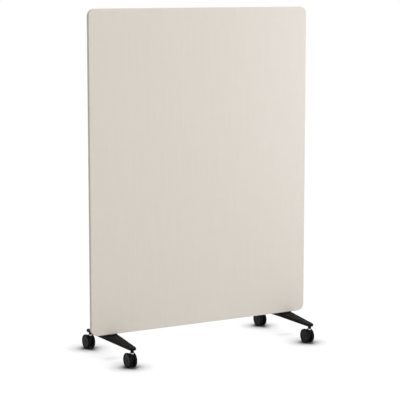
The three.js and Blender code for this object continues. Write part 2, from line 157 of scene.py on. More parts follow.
class CastorSettings(bpy.types.PropertyGroup):
    """Sizes and colours of the castors."""
    nylon: colour_setting("Nylon", "Colour of the castor bodies and wheel hubs", "#0f1011")
    tread: colour_setting("Tread", "Colour of the running surface", "#0e0e0f")
    acetal: colour_setting("Acetal", "Colour of the stem's bush", "#e6e6e1")
    tread_width: length_setting("Tread width", "Width of the running surface", 9)
    hood_radius: length_setting("Hood radius", "Hood between the wheels, round the axle", 32)
    hood_below: length_setting("Hood below", "Radius of the hood under the axle", 24)
    hood_angle: FloatProperty(
        name="Hood angle", description="How far below the axle the hood starts to narrow",
        subtype="ANGLE", default=math.radians(20))
    socket_wall: length_setting("Socket wall", "Wall of the stem's socket", 1.7)
    facets: IntProperty(name="Facets", description="Steps round a wheel", default=96, min=24)


class StageSettings(bpy.types.PropertyGroup):
    """The studio: camera, lamps and floor."""
    azimuth: FloatProperty(
        name="Azimuth", description="Camera's bearing to the left of the front",
        subtype="ANGLE", default=math.radians(30.257))
    elevation: FloatProperty(
        name="Elevation", description="Camera's height above the horizon",
        subtype="ANGLE", default=math.radians(8.133))
    distance: FloatProperty(
        name="Distance", description="From the camera to the panel's middle", unit="LENGTH",
        default=7.4625)
    lens: FloatProperty(
        name="Lens", description="Focal length in millimetres on a 36 mm sensor", default=138.67)
    floor: colour_setting("Floor", "Colour of the studio floor", "#cfcfcf")
    seen_floor: colour_setting("Seen floor", "Colour of the lit floor to the camera", "#707070")
    floor_lift: FloatProperty(
        name="Floor lift", description="Added to what the camera sees of the floor", default=0.86)
    contact: length_setting("Contact", "How far a standing thing shades the floor", 100)
    closed_sky: FloatProperty(
        name="Closed sky", description="Share of open sky at which that lift ends", default=0.61)
    ambient: FloatProperty(name="Ambient", description="Light from all round", default=1.355)
    left_share: FloatProperty(
        name="Left share", description="Share of that light from straight left", default=0.0)
    lamp: colour_setting("Side lamp", "Colour of the lamp at the right", "#e2edff")
    lamp_power: FloatProperty(
        name="Lamp power", description="Power of the lamp at the right, in watts", default=7.2)


class PartitionSettings(bpy.types.PropertyGroup):
    """All settings of the rolling partition."""
    panel: PointerProperty(type=PanelSettings)
    foot: PointerProperty(type=FootSettings)
    castor: PointerProperty(type=CastorSettings)
    stage: PointerProperty(type=StageSettings)


def settings():
    """The partition's settings in this scene."""
    return bpy.context.scene.partition


# ---------------------------------------------------------------- mesh helpers
def finish_piece(name, mesh, materials, body, replaced, sharp_degrees=32.0):
    """Makes an object of a mesh in the row frame, and hides the CAD nodes it stands for."""
    mesh.shade_smooth()
    mesh.set_sharp_from_angle(angle=math.radians(sharp_degrees))
    for material in materials:
        mesh.materials.append(material)
    piece = bpy.data.objects.new(name, mesh)
    bpy.context.scene.collection.objects.link(piece)
    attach(piece, body)
    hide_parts(*replaced)
    return piece


def mesh_of(points, faces, name="mesh"):
    """A mesh with outward faces, from points and lists of corner numbers."""
    mesh = bpy.data.meshes.new(name)
    mesh.from_pydata([tuple(point) for point in points], [], faces)
    build = bmesh.new()
    build.from_mesh(mesh)
    bmesh.ops.remove_doubles(build, verts=build.verts, dist=1e-7)
    bmesh.ops.recalc_face_normals(build, faces=build.faces)
    build.to_mesh(mesh)
    build.free()
    return mesh


def bands(count, rows):
    """Four-sided faces between each two of several rings of equal counts."""
    faces = []
    for row in range(rows - 1):
        here, there = row * count, (row + 1) * count
        for at in range(count):
            after = (at + 1) % count
            faces.append((here + at, here + after, there + after, there + at))
    return faces


def skin(rings):
    """Faces over rings of points that have equal counts, with flat caps at both ends."""
    count = len(rings[0])
    points = [point for ring in rings for point in ring]
    caps = [tuple(range(count)), tuple(range((len(rings) - 1) * count, len(rings) * count))]
    return mesh_of(points, bands(count, len(rings)) + caps)


def fill_ring(points, faces, start, count, grid, height):
    """Fills a ring that stands upright with triangles over a grid of (x, z) spots.

    The function height gives the y of a spot. Points and faces are added to their lists."""
    ring = [Vector((x, z)) for x, _, z in points[start:start + count]]
    edges = [(at, (at + 1) % count) for at in range(count)]
    spots, _, triangles, *_ = delaunay_2d_cdt(ring + grid, edges, [], 1, 1e-6)
    names = {at: start + at for at in range(count)}
    for at in range(count, len(spots)):
        names[at] = len(points)
        points.append((spots[at].x, height(spots[at]), spots[at].y))
    faces.extend(tuple(names[corner] for corner in triangle) for triangle in triangles)


def turned(profile, steps=64, closed=False):
    """A solid of revolution about Z, from (radius, height) pairs that run from axis to axis."""
    points, rows = [], []
    for radius, height in profile:
        if radius < 1e-7:
            points.append((0.0, 0.0, height))
            rows.append([len(points) - 1] * steps)
            continue
        first = len(points)
        for at in range(steps):
            turn = 2 * math.pi * at / steps
            points.append((radius * math.cos(turn), radius * math.sin(turn), height))
        rows.append(list(range(first, first + steps)))
    faces = []
    pairs = list(zip(rows, rows[1:])) + ([(rows[-1], rows[0])] if closed else [])
    for low, high in pairs:
        for at in range(steps):
            after = (at + 1) % steps
            corners = [low[at], low[after], high[after], high[at]]
            unique = tuple(dict.fromkeys(corners))
            if len(unique) > 2:
                faces.append(unique)
    return mesh_of(points, faces)


def arc(centre, radius, start, end, steps):
    """Points of an arc in a profile, angles in degrees."""
    turns = [math.radians(start + (end - start) * at / steps) for at in range(steps + 1)]
    return [(centre[0] + radius * math.cos(t), centre[1] + radius * math.sin(t)) for t in turns]


def rounded_polygon(corners, radius, steps=6):
    """The outline of a convex polygon with equal roundings, in the order of its corners."""
    outline = []
    for at, corner in enumerate(corners):
        here = Vector(corner)
        before = (Vector(corners[at - 1]) - here).normalized()
        after = (Vector(corners[(at + 1) % len(corners)]) - here).normalized()
        half = before.angle(after) / 2
        centre = here + (before + after).normalized() * radius / math.sin(half)
        first = here + before * radius / math.tan(half) - centre
        last = here + after * radius / math.tan(half) - centre
        for step in range(steps + 1):
            way = first.lerp(last, step / steps).normalized() * radius
            outline.append(tuple(centre + way))
    return outline


def inset_outline(outline, depth):
    """Each point of a closed outline moved inward, square to its neighbours' chord."""
    count = len(outline)
    area = sum(
        outline[at - 1][0] * outline[at][1] - outline[at][0] * outline[at - 1][1]
        for at in range(count))
    sign = 1 if area > 0 else -1
    moved = []
    for at, (x, y) in enumerate(outline):
        back, on = outline[at - 1], outline[(at + 1) % count]
        chord = Vector((on[0] - back[0], on[1] - back[1])).normalized()
        moved.append((x - sign * chord.y * depth, y + sign * chord.x * depth))
    return moved


def extruded(outline, low, high, radius, steps=3, place=None):
    """An outline in X and Y drawn out from low to high, with rounded rims."""
    rings = []
    for step in range(steps + 1):
        turn = math.pi / 2 * step / steps
        inset = radius * (1 - math.sin(turn))
        rings.append((inset, low + radius * (1 - math.cos(turn))))
    for step in range(steps, -1, -1):
        turn = math.pi / 2 * step / steps
        inset = radius * (1 - math.sin(turn))
        rings.append((inset, high - radius * (1 - math.cos(turn))))
    mesh = skin([
        [(x, y, height) for x, y in inset_outline(outline, inset)] for inset, height in rings])
    if place is not None:
        mesh.transform(place)
    return mesh


def combined(mesh, joined=(), removed=()):
    """The mesh with others added to it and cut out of it."""
    body = bpy.data.objects.new("working_body", mesh)
    scene = bpy.context.scene.collection
    scene.objects.link(body)
    tools = []
    for others, operation in ((joined, "UNION"), (removed, "DIFFERENCE")):
        for other in others:
            tool = bpy.data.objects.new("working_tool", other)
            scene.objects.link(tool)
            tools.append(tool)
            change = body.modifiers.new(operation.title(), "BOOLEAN")
            change.operation = operation
            change.solver = "EXACT"
            change.object = tool
    bpy.context.view_layer.update()
    depsgraph = bpy.context.evaluated_depsgraph_get()
    result = bpy.data.meshes.new_from_object(body.evaluated_get(depsgraph))
    for working in (body, *tools):
        bpy.data.objects.remove(working)
    build = bmesh.new()
    build.from_mesh(result)
    sliver = 0.02 * MM  # thinner faces than this are left by the cuts
    bmesh.ops.remove_doubles(build, verts=build.verts, dist=sliver)
    bmesh.ops.dissolve_degenerate(build, edges=build.edges, dist=sliver / 4)
    build.to_mesh(result)
    build.free()
    return result


def middle(node):
    """The middle of a CAD node's box."""
    low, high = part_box(node)
    return (low + high) / 2


def dress_nodes(nodes, material, bevel_mm=0.0):
    """Gives carried-over nodes their material and, where they are milled, a small bevel."""
    for name in nodes:
        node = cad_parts[name]
        node.data.materials.clear()
        node.data.materials.append(material)
        if bevel_mm:
            bevel = node.modifiers.new("Eased edges", "BEVEL")
            bevel.width = bevel_mm * MM
            bevel.segments = 2
            bevel.limit_method = "ANGLE"
            bevel.angle_limit = math.radians(40)


# ---------------------------------------------------------------- finishes
# A Mix node's sockets for colours.
FIRST, SECOND, MIXED = 6, 7, 2


def woven_polyester(colour, spacing):
    """Plain woven polyester, piece-dyed: matt, with fine slubs along both sets of yarn and a
    faint pale sheen where it is seen at a low angle."""
    material, tree, shader = new_material(
        "woven_polyester", Roughness=0.85, IOR=1.45, Specular_IOR_Level=0.2,
        Sheen_Weight=0.1, Sheen_Roughness=0.5, Sheen_Tint=(1.0, 1.0, 1.0, 1.0))
    place = add_node(tree, "TexCoord").outputs["Object"]
    axes = add_node(tree, "SeparateXYZ", {0: place}).outputs
    facing = add_node(
        tree, "SeparateXYZ", {0: add_node(tree, "NewGeometry").outputs["Normal"]}).outputs

    def yarn_axis(name):
        """Runs over the face along one axis, and round the panel's edge along Y."""
        size = add_node(tree, "Math", {0: facing[name]}, operation="ABSOLUTE").outputs[0]
        on_edge = add_node(tree, "Math", {0: size, 1: 0.7}, operation="GREATER_THAN").outputs[0]
        return add_node(tree, "Mix", {0: on_edge, 2: axes[name], 3: axes["Y"]}).outputs[0]

    across, upward = yarn_axis("X"), yarn_axis("Z")
    # The real yarns lie 0.4 mm apart. They are drawn twice as far apart, so that the weave
    # shows in a close view.
    waves, round_yarns, long_yarns = [], [], []
    for position in (across, upward):
        turn = add_node(tree, "Math", {0: position, 1: math.pi / spacing}, operation="MULTIPLY")
        wave = add_node(tree, "Math", {0: turn.outputs[0]}, operation="SINE").outputs[0]
        arch = add_node(tree, "Math", {0: wave}, operation="ABSOLUTE").outputs[0]
        waves.append(wave)
        round_yarns.append(arch)
        long_yarns.append(add_node(tree, "Math", {0: arch, 1: 0.35}, operation="POWER").outputs[0])
    warp = add_node(
        tree, "Math", {0: round_yarns[0], 1: long_yarns[1]}, operation="MULTIPLY").outputs[0]
    weft = add_node(
        tree, "Math", {0: round_yarns[1], 1: long_yarns[0]}, operation="MULTIPLY").outputs[0]
    over = add_node(tree, "Math", {0: waves[0], 1: waves[1]}, operation="MULTIPLY").outputs[0]
    warp_on_top = add_node(tree, "Math", {0: over, 1: 0.0}, operation="GREATER_THAN").outputs[0]
    yarn = add_node(tree, "Mix", {0: warp_on_top, 2: weft, 3: warp}).outputs[0]

    # Slubs, thicker stretches of yarn: 12 mm wide bundles of warp, and fainter ones of weft.
    cloth = add_node(tree, "CombineXYZ", {"X": across, "Y": upward}).outputs[0]
    slubs = []
    for width, length in ((12, 260), (150, 14)):
        long_grain = add_node(tree, "Mapping", {
            "Vector": cloth, "Scale": (per_metre(width), per_metre(length), 1.0)}).outputs[0]
        slubs.append(add_node(
            tree, "TexNoise", {"Vector": long_grain, "Scale": 1.0, "Detail": 1.0}).outputs["Fac"])
    warp_dye = add_node(tree, "Mix", {
        0: slubs[0], FIRST: opaque(shade(colour, 0.975)), SECOND: opaque(shade(colour, 1.025))},
        data_type="RGBA").outputs[MIXED]
    weft_dye = add_node(tree, "Mix", {
        0: slubs[1], FIRST: (0.985, 0.985, 0.985, 1.0), SECOND: (1.015, 1.015, 1.015, 1.0)},
        data_type="RGBA").outputs[MIXED]
    # Painted shade in the hollows between the yarns and painted light on their crowns: the colour
    # is darkened where the yarn height is low and lightened where it is high.
    hollows = add_node(tree, "Mix", {
        0: yarn, FIRST: (0.86, 0.86, 0.86, 1.0), SECOND: (1.1, 1.1, 1.1, 1.0)},
        data_type="RGBA").outputs[MIXED]
    dyed = add_node(
        tree, "Mix", {0: 1.0, FIRST: warp_dye, SECOND: weft_dye}, data_type="RGBA",
        blend_type="MULTIPLY").outputs[MIXED]
    woven = add_node(
        tree, "Mix", {0: 1.0, FIRST: dyed, SECOND: hollows}, data_type="RGBA",
        blend_type="MULTIPLY").outputs[MIXED]
    tree.links.new(woven, shader.inputs["Base Color"])
    lumps = add_node(tree, "Bump", {"Height": slubs[0], "Distance": 0.04 * MM})
    threads = add_node(
        tree, "Bump", {"Height": yarn, "Distance": 0.08 * MM, "Normal": lumps.outputs[0]})
    tree.links.new(threads.outputs[0], shader.inputs["Normal"])
    return material


def bonded_fleece(colour):
    """Thermally bonded polyester fleece: matt and cloudy, with short loose fibres."""
    material, tree, shader = new_material("bonded_fleece", Roughness=1.0, Sheen_Weight=0.3)
    place = add_node(tree, "TexCoord").outputs["Object"]
    cloud = add_node(tree, "TexNoise", {"Vector": place, "Scale": per_metre(14), "Detail": 3.0})
    fibre = add_node(tree, "TexNoise", {"Vector": place, "Scale": per_metre(1.6), "Detail": 3.0})
    tint = add_node(tree, "Mix", {
        0: cloud.outputs["Fac"], FIRST: opaque(shade(colour, 0.88)),
        SECOND: opaque(shade(colour, 1.05))}, data_type="RGBA")
    tree.links.new(tint.outputs[MIXED], shader.inputs["Base Color"])
    loft = add_node(tree, "Bump", {"Height": fibre.outputs["Fac"], "Distance": 0.3 * MM})
    tree.links.new(loft.outputs[0], shader.inputs["Normal"])
    return material


def mineral_wool(colour):
    """Pressed mineral wool slab: layered fibres that lie along the slab, dull and uneven."""
    material, tree, shader = new_material("mineral_wool", Roughness=1.0)
    place = add_node(tree, "TexCoord").outputs["Object"]
    lying = add_node(tree, "Mapping", {"Vector": place, "Scale": (0.17, 1.7, 1.0)}).outputs[0]
    fibre = add_node(tree, "TexNoise", {"Vector": lying, "Scale": per_metre(3), "Detail": 4.0})
    tint = add_node(tree, "Mix", {
        0: fibre.outputs["Fac"], FIRST: opaque(shade(colour, 0.45)),
        SECOND: opaque(shade(colour, 1.35))}, data_type="RGBA")
    tree.links.new(tint.outputs[MIXED], shader.inputs["Base Color"])
    layers = add_node(tree, "Bump", {"Height": fibre.outputs["Fac"], "Distance": 0.8 * MM})
    tree.links.new(layers.outputs[0], shader.inputs["Normal"])
    return material


def planed_pine(colour):
    """Planed pine: growth rings drawn out along the board into pale and darker bands."""
    material, tree, shader = new_material("planed_pine", Roughness=0.55, IOR=1.5)
    place = add_node(tree, "TexCoord").outputs["Object"]
    along = add_node(tree, "Mapping", {"Vector": place, "Scale": (1.0, 1.0, 0.08)}).outputs[0]
    rings = add_node(
        tree, "TexWave", {"Vector": along, "Scale": 28.0, "Distortion": 5.0, "Detail": 3.0},
        wave_type="BANDS", bands_direction="X")
    tint = add_node(tree, "Mix", {
        0: rings.outputs["Fac"], FIRST: opaque(shade(colour, 0.78)),
        SECOND: opaque(shade(colour, 1.06))}, data_type="RGBA")
    tree.links.new(tint.outputs[MIXED], shader.inputs["Base Color"])
    fibre = add_node(tree, "TexNoise", {"Vector": along, "Scale": per_metre(1.2)})
    pores = add_node(tree, "Bump", {"Height": fibre.outputs["Fac"], "Distance": 0.06 * MM})
    tree.links.new(pores.outputs[0], shader.inputs["Normal"])
    return material


def pressed_hardboard(colour):
    """Pressed hardboard: brown fibre flecks under a smooth, slightly waxy face."""
    material, tree, shader = new_material(
        "pressed_hardboard", Roughness=0.6, IOR=1.5, Specular_IOR_Level=0.4)
    place = add_node(tree, "TexCoord").outputs["Object"]
    fleck = add_node(tree, "TexNoise", {"Vector": place, "Scale": per_metre(2.2), "Detail": 4.0})
    tint = add_node(tree, "Mix", {
        0: fleck.outputs["Fac"], FIRST: opaque(shade(colour, 0.55)),
        SECOND: opaque(shade(colour, 1.4))}, data_type="RGBA")
    tree.links.new(tint.outputs[MIXED], shader.inputs["Base Color"])
    wire = add_node(tree, "Bump", {"Height": fleck.outputs["Fac"], "Distance": 0.05 * MM})
    tree.links.new(wire.outputs[0], shader.inputs["Normal"])
    return material


def powder_coat(colour):
    """Fine-textured black powder coat on cast aluminium: a satin skin with a tight orange peel,
    worn a little paler along the edges that shoes touch."""
    material, tree, shader = new_material(
        "powder_coated_aluminium", IOR=1.5, Specular_IOR_Level=0.07)
    place = add_node(tree, "TexCoord").outputs["Object"]
    peel = add_node(tree, "TexNoise", {"Vector": place, "Scale": per_metre(1.4)})
    patch = add_node(tree, "TexNoise", {"Vector": place, "Scale": per_metre(60)}).outputs["Fac"]
    eased = add_node(tree, "Bevel", {"Radius": 1.2 * MM}, samples=4).outputs["Normal"]
    flat = add_node(tree, "NewGeometry").outputs["Normal"]
    bend = add_node(tree, "VectorMath", {0: eased, 1: flat}, operation="DOT_PRODUCT")
    touched = add_node(tree, "MapRange", {
        "Value": bend.outputs["Value"], "From Min": 0.8, "From Max": 0.99, "To Min": 1.0,
        "To Max": 0.0}).outputs["Result"]
    coat = add_node(tree, "Mix", {
        0: patch, FIRST: opaque(shade(colour, 0.7)), SECOND: opaque(shade(colour, 1.3))},
        data_type="RGBA").outputs[MIXED]
    worn = add_node(
        tree, "Mix", {0: touched, FIRST: coat, SECOND: opaque(shade(colour, 1.8))},
        data_type="RGBA")
    tree.links.new(worn.outputs[MIXED], shader.inputs["Base Color"])
    satin = add_node(tree, "MapRange", {"Value": patch, "To Min": 0.5, "To Max": 0.7})
    tree.links.new(satin.outputs["Result"], shader.inputs["Roughness"])
    skin_bump = add_node(tree, "Bump", {"Height": peel.outputs["Fac"], "Distance": 0.04 * MM})
    tree.links.new(skin_bump.outputs[0], shader.inputs["Normal"])
    return material


def blackened_steel(colour):
    """Rolled steel plate, chemically blackened: dark, dry, with a faint rolling direction."""
    material, tree, shader = new_material("blackened_steel", Metallic=1.0)
    place = add_node(tree, "TexCoord").outputs["Object"]
    rolled = add_node(tree, "Mapping", {"Vector": place, "Scale": (0.03, 1.0, 1.0)}).outputs[0]
    streak = add_node(
        tree, "TexNoise", {"Vector": rolled, "Scale": per_metre(0.8)}).outputs["Fac"]
    tint = add_node(tree, "Mix", {
        0: streak, FIRST: opaque(shade(colour, 0.6)), SECOND: opaque(shade(colour, 1.5))},
        data_type="RGBA")
    tree.links.new(tint.outputs[MIXED], shader.inputs["Base Color"])
    dry = add_node(tree, "MapRange", {"Value": streak, "To Min": 0.35, "To Max": 0.7})
    tree.links.new(dry.outputs["Result"], shader.inputs["Roughness"])
    return material


def bright_zinc(colour):
    """Bright zinc plate on turned steel: pale grey metal with fine turning marks round it."""
    material, tree, shader = new_material("bright_zinc_plate", Metallic=1.0)
    place = add_node(tree, "TexCoord").outputs["Object"]
    round_it = add_node(tree, "Mapping", {"Vector": place, "Scale": (0.03, 0.03, 1.0)}).outputs[0]
    marks = add_node(tree, "TexNoise", {"Vector": round_it, "Scale": per_metre(0.5)})
    bloom = add_node(tree, "TexNoise", {"Vector": place, "Scale": per_metre(5)}).outputs["Fac"]
    tint = add_node(tree, "Mix", {
        0: bloom, FIRST: opaque(shade(colour, 0.8)), SECOND: opaque(shade(colour, 1.15))},
        data_type="RGBA")
    tree.links.new(tint.outputs[MIXED], shader.inputs["Base Color"])
    polish = add_node(tree, "MapRange", {"Value": bloom, "To Min": 0.15, "To Max": 0.4})
    tree.links.new(polish.outputs["Result"], shader.inputs["Roughness"])
    turned_marks = add_node(tree, "Bump", {"Height": marks.outputs["Fac"], "Distance": 0.01 * MM})
    tree.links.new(turned_marks.outputs[0], shader.inputs["Normal"])
    return material


def moulded_nylon(name, colour, spark_mm, roughness):
    """Glass-filled nylon from a spark-eroded mould: black, with a fine, even grain that
    handling has polished unevenly."""
    material, tree, shader = new_material(name, IOR=1.53, Specular_IOR_Level=0.1)
    place = add_node(tree, "TexCoord").outputs["Object"]
    spark = add_node(tree, "TexNoise", {"Vector": place, "Scale": per_metre(spark_mm)})
    touch = add_node(tree, "TexNoise", {"Vector": place, "Scale": per_metre(18)}).outputs["Fac"]
    tint = add_node(tree, "Mix", {
        0: touch, FIRST: opaque(shade(colour, 0.7)), SECOND: opaque(shade(colour, 1.4))},
        data_type="RGBA")
    tree.links.new(tint.outputs[MIXED], shader.inputs["Base Color"])
    gloss = add_node(tree, "MapRange", {
        "Value": touch, "To Min": roughness - 0.12, "To Max": roughness + 0.12})
    tree.links.new(gloss.outputs["Result"], shader.inputs["Roughness"])
    mould = add_node(tree, "Bump", {"Height": spark.outputs["Fac"], "Distance": 0.03 * MM})
    tree.links.new(mould.outputs[0], shader.inputs["Normal"])
    return material


def moulded_acetal(colour):
    """Natural acetal, moulded: a waxy, slightly see-through white."""
    material, tree, shader = new_material(
        "moulded_acetal", IOR=1.48, Subsurface_Weight=0.2, Subsurface_Radius=(0.002, 0.002, 0.002))
    place = add_node(tree, "TexCoord").outputs["Object"]
    flow = add_node(tree, "TexNoise", {"Vector": place, "Scale": per_metre(6)}).outputs["Fac"]
    tint = add_node(tree, "Mix", {
        0: flow, FIRST: opaque(shade(colour, 0.93)), SECOND: opaque(shade(colour, 1.03))},
        data_type="RGBA")
    tree.links.new(tint.outputs[MIXED], shader.inputs["Base Color"])
    wax = add_node(tree, "MapRange", {"Value": flow, "To Min": 0.3, "To Max": 0.5})
    tree.links.new(wax.outputs["Result"], shader.inputs["Roughness"])
    return material


# ---------------------------------------------------------------- upholstered panel
def panel_layout():
    """Where the panel stands, from the boxes of its two covers."""
    front_low, front_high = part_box("front_cover")
    rear_low, rear_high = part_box("rear_cover")
    return {
        "half_width": (front_high.x - front_low.x) / 2,
        "half_height": (front_high.z - front_low.z) / 2,
        "centre_x": (front_high.x + front_low.x) / 2,
        "centre_z": (front_high.z + front_low.z) / 2,
        "seam_y": (front_high.y + rear_low.y) / 2,
        "half_depth": (rear_high.y - front_low.y) / 2,
    }


def panel_outline(half_width, half_height, radius, straight_step, corner_steps):
    """Points round the panel, each with its outward direction and its distance along the edge."""
    points, walked = [], 0.0
    inner_x, inner_z = half_width - radius, half_height - radius
    corners = [(inner_x, inner_z, 0), (-inner_x, inner_z, 90), (-inner_x, -inner_z, 180),
               (inner_x, -inner_z, 270)]
    for at, (x, z, start) in enumerate(corners):
        for step in range(corner_steps):
            turn = math.radians(start + 90 * step / corner_steps)
            out = (math.cos(turn), math.sin(turn))
            points.append((x + radius * out[0], z + radius * out[1], out, walked))
            walked += radius * math.pi / 2 / corner_steps
        turn = math.radians(start + 90)
        out = (math.cos(turn), math.sin(turn))
        after = corners[(at + 1) % 4]
        begin = Vector((x + radius * out[0], z + radius * out[1]))
        end = Vector((after[0] + radius * out[0], after[1] + radius * out[1]))
        steps = round((end - begin).length / straight_step)
        for step in range(steps):
            spot = begin.lerp(end, step / steps)
            points.append((spot.x, spot.y, out, walked))
            walked += (end - begin).length / steps
    return points


def cover_mesh(side):
    """One fabric cover: a face, a rounded rim, and the half of the edge up to the seam.

    The cloth is drawn in a little at each stitch, and rises a hair over the fleece away from
    the rim. side is -1 for the front cover and 1 for the rear one."""
    use = settings().panel
    lay = panel_layout()
    straight_step, corner_steps = 3 * MM, 28
    outline = panel_outline(
        lay["half_width"], lay["half_height"], use.corner_radius, straight_step, corner_steps)
    rim = use.edge_radius
    depth = lay["half_depth"]
    seam = 0.15 * MM
    crown = 0.35 * MM  # how far the cloth rises over the fleece in the middle
    profile = [  # (inset from the outline, distance from the seam's plane, share of the pucker)
        (use.seam_fold + 1.6 * MM, seam, 0.0), (use.seam_fold, seam, 0.2),
        (use.seam_fold * 0.4, seam + 0.15 * MM, 1.0), (0.12 * MM, seam + 0.7 * MM, 1.0),
        (0.0, seam + 1.8 * MM, 0.7), (0.0, depth - rim - 2 * MM, 0.25),
    ]
    profile += [
        (rim * (1 - math.cos(turn)), depth - rim + (rim - crown) * math.sin(turn), 0.0)
        for turn in (math.radians(90 * step / 6) for step in range(7))]
    profile += [(rim + 1.5 * MM, depth - crown * 0.98, 0.0)]
    points, count = [], len(outline)
    for inset, away, pull in profile:
        for x, z, out, walked in outline:
            stitch = 0.5 + 0.5 * math.cos(2 * math.pi * walked / use.pucker_pitch)
            inward = inset + pull * use.pucker_depth * stitch
            points.append((x - out[0] * inward, away, z - out[1] * inward))
    faces = bands(count, len(profile))
    plateau = 90 * MM  # from the rim to where the cloth has risen fully

    def risen(spot):
        to_rim = min(lay["half_width"] - abs(spot.x), lay["half_height"] - abs(spot.y))
        rise = min(max(to_rim / plateau, 0.0), 1.0)
        return depth - crown * (1 - rise * rise * (3 - 2 * rise))

    fill_ring(points, faces, len(points) - count, count, cover_grid(lay), risen)
    place = Matrix.Translation((lay["centre_x"], lay["seam_y"], lay["centre_z"]))
    mesh = mesh_of([(x, side * away, z) for x, away, z in points], faces)
    mesh.transform(place)
    return mesh


def cover_grid(lay):
    """Spots over the face of a cover, clear of its rim and rounded corners."""
    cell, keep_clear = 22 * MM, 15 * MM
    across = round(2 * lay["half_width"] / cell)
    upward = round(2 * lay["half_height"] / cell)
    reach_x = lay["half_width"] - keep_clear
    reach_z = lay["half_height"] - keep_clear
    rounding = settings().panel.corner_radius * 0.8
    grid = []
    for column in range(across + 1):
        for row in range(upward + 1):
            x = reach_x * (2 * column / across - 1)
            z = reach_z * (2 * row / upward - 1)
            past = Vector((
                max(abs(x) - reach_x + rounding, 0), max(abs(z) - reach_z + rounding, 0)))
            if past.length <= rounding + 1e-6:
                grid.append(Vector((x, z)))
    return grid


def thicken(mesh, thickness):
    """Gives a cloth its thickness, inward from the face that shows."""
    body = bpy.data.objects.new("working_cloth", mesh)
    bpy.context.scene.collection.objects.link(body)
    change = body.modifiers.new("Cloth thickness", "SOLIDIFY")
    change.thickness = thickness
    change.offset = -1
    bpy.context.view_layer.update()
    result = bpy.data.meshes.new_from_object(
        body.evaluated_get(bpy.context.evaluated_depsgraph_get()))
    bpy.data.objects.remove(body)
    return result


def screw_places():
    """X of the four screws that hold the feet."""
    half = settings().foot.screw_spacing / 2
    return [middle(f"{hand}_foot_casting").x + side * half for hand in HANDS for side in (-1, 1)]


class PARTITION_OT_covers(bpy.types.Operator):
    """Stretch the two fabric covers over the panel and close them along its edge"""
    bl_idname = "partition.covers"
    bl_label = "Fabric covers"

    def execute(self, context):
        use = settings().panel
        cloth = woven_polyester(use.fabric, use.thread_spacing)
        lay = panel_layout()
        screw_hole, reach = 4.2 * MM, 8 * MM
        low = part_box("front_cover")[0].z
        for side, end in ((-1, "front"), (1, "rear")):
            holes = []
            for x in screw_places():
                hole = turned(
                    [(0, -reach), (screw_hole, -reach), (screw_hole, reach), (0, reach)], 24)
                hole.transform(Matrix.Translation((x, lay["seam_y"], low)))
                holes.append(hole)
            mesh = combined(thicken(cover_mesh(side), use.cloth_thickness), removed=holes)
            cover = finish_piece(
                f"{end}_fabric", mesh, [cloth], "frame", [f"{end}_cover"], 60.0)
        return {"FINISHED"}


def slab_mesh(low, high, corner, rim, rough, seed):
    """A slab between two corners with a rounded outline and uneven, slightly sunken faces."""
    half_x, half_y, half_z = (high - low) / 2
    cell = 26 * MM
    outline = [(x, z) for x, z, _, _ in panel_outline(half_x, half_z, corner, cell, 5)]
    inner = inset_outline(outline, rim)
    rings = ((inner, -half_y), (outline, rim - half_y), (outline, half_y - rim), (inner, half_y))
    points = [(x, away, z) for path, away in rings for x, z in path]
    count = len(outline)
    faces = bands(count, len(rings))
    across, upward = round(2 * half_x / cell), round(2 * half_z / cell)
    clear = corner + cell / 2
    grid = [
        Vector(((half_x - clear) * (2 * c / across - 1), (half_z - clear) * (2 * r / upward - 1)))
        for c in range(across + 1) for r in range(upward + 1)]
    hollows = 1 / (25 * MM)  # one dip and rise in about this length
    for start, away in ((0, -half_y), (3 * count, half_y)):

        def uneven(spot):
            lumps = noise.noise(Vector((spot.x * hollows, spot.y * hollows, seed)))
            return away - math.copysign(rough * (0.5 + 0.5 * lumps), away)

        fill_ring(points, faces, start, count, grid, uneven)
    mesh = mesh_of(points, faces)
    mesh.transform(Matrix.Translation((low + high) / 2))
    return mesh


class PARTITION_OT_core(bpy.types.Operator):
    """Fill the panel: stiles and rails, mineral wool slabs, hardboard skins and fleece"""
    bl_idname = "partition.core"
    bl_label = "Panel core"

    def execute(self, context):
        use = settings().panel
        dress_nodes(
            ("left_stile", "right_stile", "bottom_rail", "middle_rail", "top_rail"),
            planed_pine(use.pine), bevel_mm=0.6)
        dress_nodes(("front_skin", "rear_skin"), pressed_hardboard(use.board), bevel_mm=0.2)
        wool = mineral_wool(use.wool)
        for seed, level in enumerate(("lower", "upper")):
            low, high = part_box(f"{level}_infill")
            mesh = slab_mesh(low, high, corner=2 * MM, rim=0.8 * MM, rough=0.5 * MM, seed=seed)
            slab = finish_piece(
                f"{level}_wool_slab", mesh, [wool], "frame", [f"{level}_infill"])
        fleece = bonded_fleece(use.fleece)
        for seed, end in enumerate(("front", "rear")):
            low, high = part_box(f"{end}_padding")
            corner = use.corner_radius - use.edge_radius
            mesh = slab_mesh(low, high, corner, rim=0.3 * MM, rough=0.12 * MM, seed=7 + seed)
            sheet = finish_piece(
                f"{end}_fleece", mesh, [fleece], "frame", [f"{end}_padding"])
        return {"FINISHED"}


